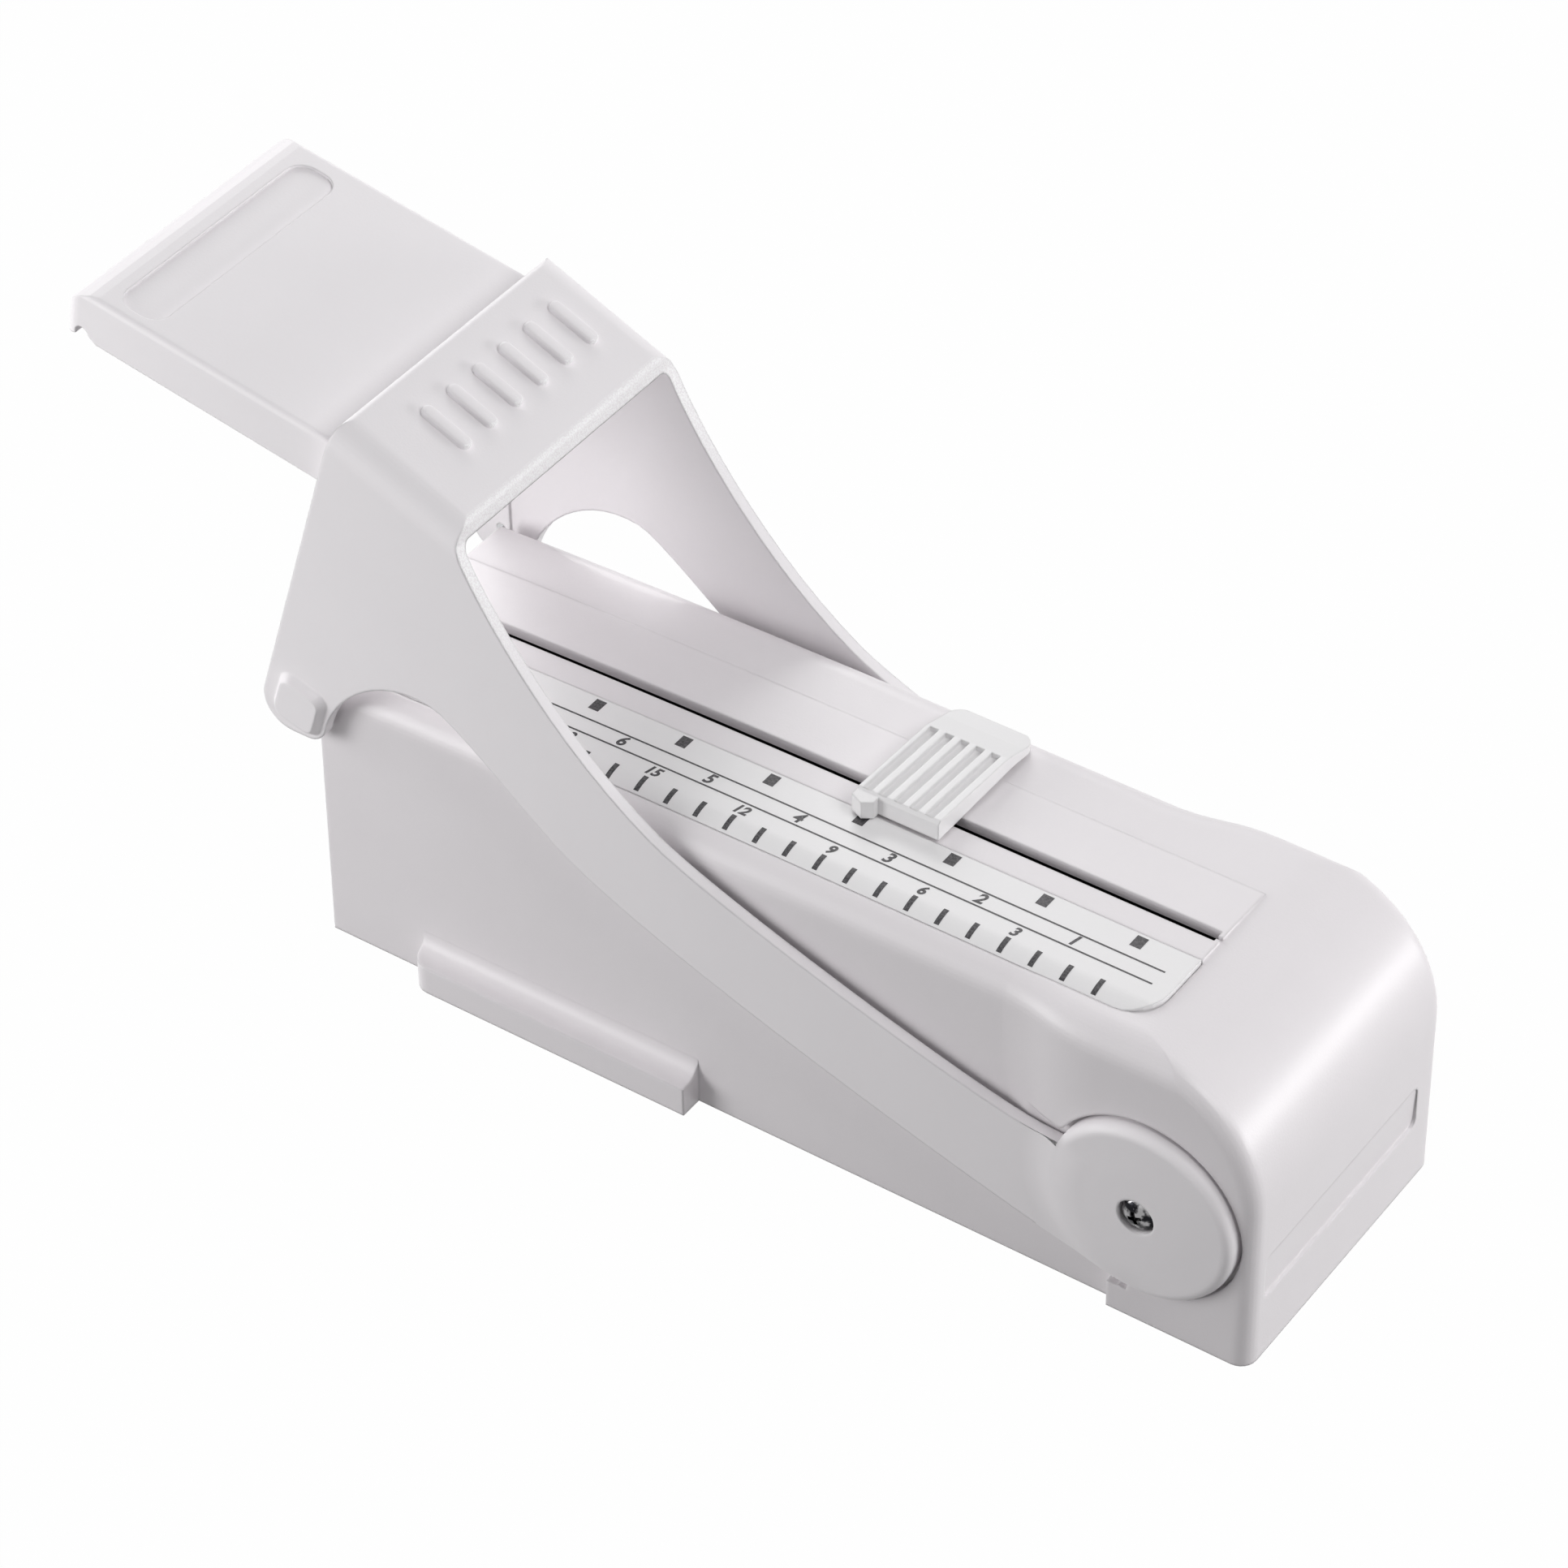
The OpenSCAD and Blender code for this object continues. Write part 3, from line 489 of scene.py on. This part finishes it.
# %% [markdown]
# ## The raised grip on the press bar
#
# The bar slopes towards the user, and the palm pushes it down. Raised ribs keep the hand from
# sliding. Each rib starts as a cube: its four upright edges are bevelled until the ends are
# round, and then the top rim gets a small round of its own. A Bevel on a cube is easier to keep
# even than a rib drawn as a curve, because both rounds have one radius each.

# %% Ribs on the press bar
BAR_FRONT = Vector((-70.6, 0, 98)) * MM
BAR_SLOPE = math.radians(23.9)
RIB_LENGTH = 8.6 * MM
RIB_WIDTH = 2.1 * MM
RIB_HEIGHT = 0.9 * MM
RIB_SUNK = 0.4 * MM
RIB_END_ROUND = 0.49 * RIB_WIDTH
RIB_TOP_ROUND = 0.35 * MM
RIB_COUNT = 6
RIB_PITCH = 5.9 * MM
RIB_FIRST = -12.6 * MM
RIB_BEHIND = 10.4 * MM
on_bar = Matrix.Translation(BAR_FRONT) @ Matrix.Rotation(BAR_SLOPE, 4, "Y")


def rib(bm, along, across):
    """One rib with round ends and a rounded top, sunk a little into the bar."""
    size = Matrix.Diagonal((RIB_LENGTH, RIB_WIDTH, RIB_HEIGHT + RIB_SUNK, 1))
    place = Matrix.Translation((along, across, (RIB_HEIGHT - RIB_SUNK) / 2))
    made = bmesh.ops.create_cube(bm, size=1, matrix=place @ size)
    upright = {edge for corner in made["verts"] for edge in corner.link_edges
               if abs(edge.verts[0].co.z - edge.verts[1].co.z) > RIB_HEIGHT}
    done = bmesh.ops.bevel(
        bm, geom=list(upright), offset=RIB_END_ROUND, segments=6, profile=0.5,
        affect="EDGES", material=-1, offset_type="OFFSET")
    sides = {face for corner in done["verts"] for face in corner.link_faces}
    sides |= {face for side in sides for edge in side.edges for face in edge.link_faces}
    top = max(sides, key=lambda face: face.calc_center_median().z)
    bmesh.ops.bevel(
        bm, geom=list(top.edges), offset=RIB_TOP_ROUND, segments=4, profile=0.5,
        affect="EDGES", material=-1, offset_type="OFFSET")


grip = bmesh.new()
for k in range(RIB_COUNT):
    rib(grip, RIB_BEHIND, RIB_FIRST + RIB_PITCH * k)
bmesh.ops.transform(grip, matrix=on_bar, verts=grip.verts)
piece("press_bar_ribs", grip, plastics["press_lever"], "lever")

# %% [markdown]
# ## The printed scale
#
# The plate beside the slot is printed in black: a block for each tablespoon near the slot, a
# tick for each teaspoon at the outer edge, two thin lines between them, and plain numbers. Ink
# is a very thin layer that follows the plate, which bows down towards the outlet and rounds off
# at its outer edge. So the marks are flat grids, and a Shrinkwrap drops them onto the plate.
# After that, one extrusion gives them the thickness of the ink. Sizes here are in mm.

# %% Ink
def ink_finish():
    """Black ink that is thin and grey in spots."""
    finish = Finish("ink_black")
    wear = finish.noise(0.35 * MM, 3, 0.7)
    thin = finish.node("ValToRGB", {"stops": ((0.38, 0), (0.66, 1))}, {"Fac": wear})
    return finish.surface({
        "Base Color": finish.tint(thin, (0.014, 0.013, 0.016), (0.10, 0.095, 0.10)),
        "Roughness": 0.42 + 0.2 * wear})


ink = ink_finish()
print("ink:", ink.name)

# %% Blocks, ticks and lines
SPOON = 15.08
SPOONS = 8
FIRST = 49.44
DROP_FROM = 60
BLOCK_ROW = -7.15
BLOCK_SIZE = (1.75, 2.3)
TICK_ROW = -17.45
TICK_SIZE = (0.8, 2.7)
LINE_ROWS = (-10.3, -13.2)
LINE_ENDS = (55.5, 55.25)
LINE_START = -70.5
LINE_WIDTH = 0.28
marks = bmesh.new()


def mark(x, y, length, width, steps_x, steps_y):
    """A flat grid above the plate, with its middle at x and y, all in mm."""
    place = Matrix.Translation((x * MM, y * MM, DROP_FROM * MM))
    size = Matrix.Diagonal((length * MM, width * MM, 1, 1))
    bmesh.ops.create_grid(
        marks, x_segments=steps_x, y_segments=steps_y, size=0.5, matrix=place @ size)


for k in range(SPOONS):
    mark(FIRST - SPOON * k, BLOCK_ROW, *BLOCK_SIZE, 1, 2)
for k in range(3 * SPOONS + 1):
    mark(FIRST - SPOON / 3 * k, TICK_ROW, *TICK_SIZE, 1, 10)
for y, end in zip(LINE_ROWS, LINE_ENDS):
    mark((end + LINE_START) / 2, y, end - LINE_START, LINE_WIDTH, 60, 1)
print("marks:", len(marks.faces), "faces")

# %% [markdown]
# ## Numbers on the scale
#
# The numbers are ordinary text objects in Blender's own font, sheared a little as the print is.
# Each is turned into a mesh before it is placed, and joins the bmesh with the other marks.

# %% Numbers
SIZE_PER_HEIGHT = 1.4
STROKE_OFFSET = 0.085 * MM
SPOON_ROW = -11.75
SPOON_HEIGHT = 2.05
TEASPOON_ROW = -14.75
TEASPOON_HEIGHT = 1.75


def number(text, x, y, height):
    """A number of that height in mm, joined to the other marks."""
    curve = bpy.data.curves.new("number", "FONT")
    curve.body = text
    curve.size = height * MM * SIZE_PER_HEIGHT
    curve.shear = 0.25
    curve.offset = STROKE_OFFSET
    curve.align_x = "CENTER"
    curve.align_y = "CENTER"
    curve.resolution_u = 3
    letters = bpy.data.objects.new("number", curve)
    bpy.context.scene.collection.objects.link(letters)
    bpy.context.view_layer.update()
    shaped = letters.evaluated_get(bpy.context.evaluated_depsgraph_get())
    flat = bpy.data.meshes.new_from_object(shaped)
    flat.transform(Matrix.Translation((x * MM, y * MM, DROP_FROM * MM)))
    marks.from_mesh(flat)
    bpy.data.objects.remove(letters)
    bpy.data.meshes.remove(flat)
    bpy.data.curves.remove(curve)


for k in range(SPOONS - 1):
    number(str(k + 1), FIRST - SPOON * (k + 0.5), SPOON_ROW, SPOON_HEIGHT)
for k in range(1, SPOONS + 1):
    number(str(3 * k), FIRST - SPOON * k, TEASPOON_ROW, TEASPOON_HEIGHT)
print("with numbers:", len(marks.faces), "faces")

# %% [markdown]
# ## Dropping the ink
#
# The Shrinkwrap drops every point straight down onto the plate. A point that misses it stays up
# where it was, so any face that still hangs up there is deleted. The rest is extruded.

# %% Drop the ink on the plate
INK_THICKNESS = 0.025 * MM
INK_GAP = 0.004 * MM
STILL_ABOVE = 55 * MM
flat = bpy.data.meshes.new("marks")
marks.to_mesh(flat)
marks.free()
sheet = bpy.data.objects.new("marks", flat)
bpy.context.scene.collection.objects.link(sheet)
drop = sheet.modifiers.new("drop", "SHRINKWRAP")
drop.wrap_method = "PROJECT"
drop.use_project_z = True
drop.use_negative_direction = True
drop.use_positive_direction = False
drop.target = nodes["scale_plate"]
drop.wrap_mode = "ABOVE_SURFACE"
drop.offset = INK_GAP
bpy.context.view_layer.update()
dropped = sheet.evaluated_get(bpy.context.evaluated_depsgraph_get())
laid = bpy.data.meshes.new_from_object(dropped)
bpy.data.objects.remove(sheet)
printed = bmesh.new()
printed.from_mesh(laid)
stray = [face for face in printed.faces
         if max(corner.co.z for corner in face.verts) > STILL_ABOVE]
bmesh.ops.delete(printed, geom=stray, context="FACES")
bmesh.ops.recalc_face_normals(printed, faces=printed.faces)
raised = bmesh.ops.extrude_face_region(printed, geom=list(printed.faces), use_keep_orig=True)
bmesh.ops.translate(
    printed, vec=(0, 0, INK_THICKNESS),
    verts=[part for part in raised["geom"] if isinstance(part, bmesh.types.BMVert)])
print("faces off the plate:", len(stray))
piece("scale_print", printed, ink, "base")

# %% [markdown]
# ## Light, floor and background
#
# White plastic on white needs light that differs from side to side, or its edges vanish. Most of
# the light comes from the left, level with the object and from behind, so the bar and the top are
# the brightest and the side with the scale falls off towards the right. A long low lamp behind on
# the right puts the highlight on the rear shoulder, and two high ones fill the top. No side gets
# so much light from all of them together that white plastic clips. A lamp's level is the same at
# any distance, so a lamp can be moved without being set again. The world and the floor are plain
# white to the camera and dim to everything else. The floor keeps a small share of its real
# shading, so that the shadow stays.

# %% Lamps
AIM = Vector((0, 0, 40)) * MM
WATTS_PER_LEVEL = 6


def lamp(name, place, size, level):
    """A soft lamp whose level is how brightly it lights the object, however far it stands."""
    data = bpy.data.lights.new(name, "AREA")
    data.shape = "RECTANGLE"
    data.size, data.size_y = size
    data.energy = WATTS_PER_LEVEL * level * Vector(place).length_squared
    made = bpy.data.objects.new(name, data)
    made.location = place
    made.rotation_euler = (AIM - Vector(place)).to_track_quat("-Z", "Y").to_euler()
    made.visible_camera = False
    bpy.context.scene.collection.objects.link(made)


lamp("lamp_left", (-0.65, -0.1, 0.2), (0.4, 0.3), 0.34)
lamp("lamp_left_near", (-0.35, -0.35, 0.14), (0.24, 0.24), 0.72)
lamp("lamp_back_left", (-0.45, 0.45, 0.35), (0.4, 0.4), 0.60)
lamp("lamp_back_high", (0.0, 0.5, 0.55), (0.5, 0.4), 0.17)
lamp("lamp_right_high", (0.5, 0.0, 0.6), (0.4, 0.4), 0.70)
lamp("lamp_right_low", (0.5, 0.3, 0.08), (0.3, 0.07), 0.52)
lamp("lamp_front", (-0.1, -0.6, 0.35), (0.4, 0.4), 0.11)
print("lamps:", len(bpy.data.lights))

# %% World and floor
WORLD_LEVEL = 0.15
FLOOR_PLAIN = 0.99
FLOOR_HALF = 3


def shown_plainly(finish):
    """1 for a ray from the camera, or for one that a gloss or a clear thing sends on."""
    direct = finish.node("LightPath", output="Is Camera Ray")
    mirrored = finish.node("LightPath", output="Is Glossy Ray")
    through = finish.node("LightPath", output="Is Transmission Ray")
    return (direct + mirrored + through) > 0.5


world = bpy.data.worlds.new("world")
air = Finish(world)
plain = air.node("Background", {}, {"Color": (1, 1, 1, 1), "Strength": 1.0})
dim = air.node("Background", {}, {"Color": (0.97, 0.975, 1, 1), "Strength": WORLD_LEVEL})
both = air.node("MixShader", {}, {"Fac": shown_plainly(air), "Shader": dim, "Shader_001": plain})
air.node("OutputWorld", {}, {"Surface": both})
bpy.context.scene.world = world

table = Finish("floor_white")
table_skin = table.node("BsdfPrincipled", {}, {
    "Base Color": table.tint(table.noise(0.05, 2), (0.22, 0.22, 0.22), (0.24, 0.24, 0.24)),
    "Roughness": 0.8, "Specular IOR Level": 0.2})
glow = table.node("Emission", {}, {"Color": (1, 1, 1, 1), "Strength": 1.0})
blend = table.node("MixShader", {}, {
    "Fac": FLOOR_PLAIN * shown_plainly(table), "Shader": table_skin, "Shader_001": glow})
table.node("OutputMaterial", {}, {"Surface": blend})
ground = bmesh.new()
bmesh.ops.create_grid(ground, x_segments=1, y_segments=1, size=FLOOR_HALF)
mesh = bpy.data.meshes.new("floor")
ground.to_mesh(mesh)
ground.free()
mesh.materials.append(table.material)
floor = bpy.data.objects.new("floor", mesh)
bpy.context.scene.collection.objects.link(floor)
bpy.context.scene.view_settings.view_transform = "Standard"
print("floor in m across:", 2 * FLOOR_HALF)
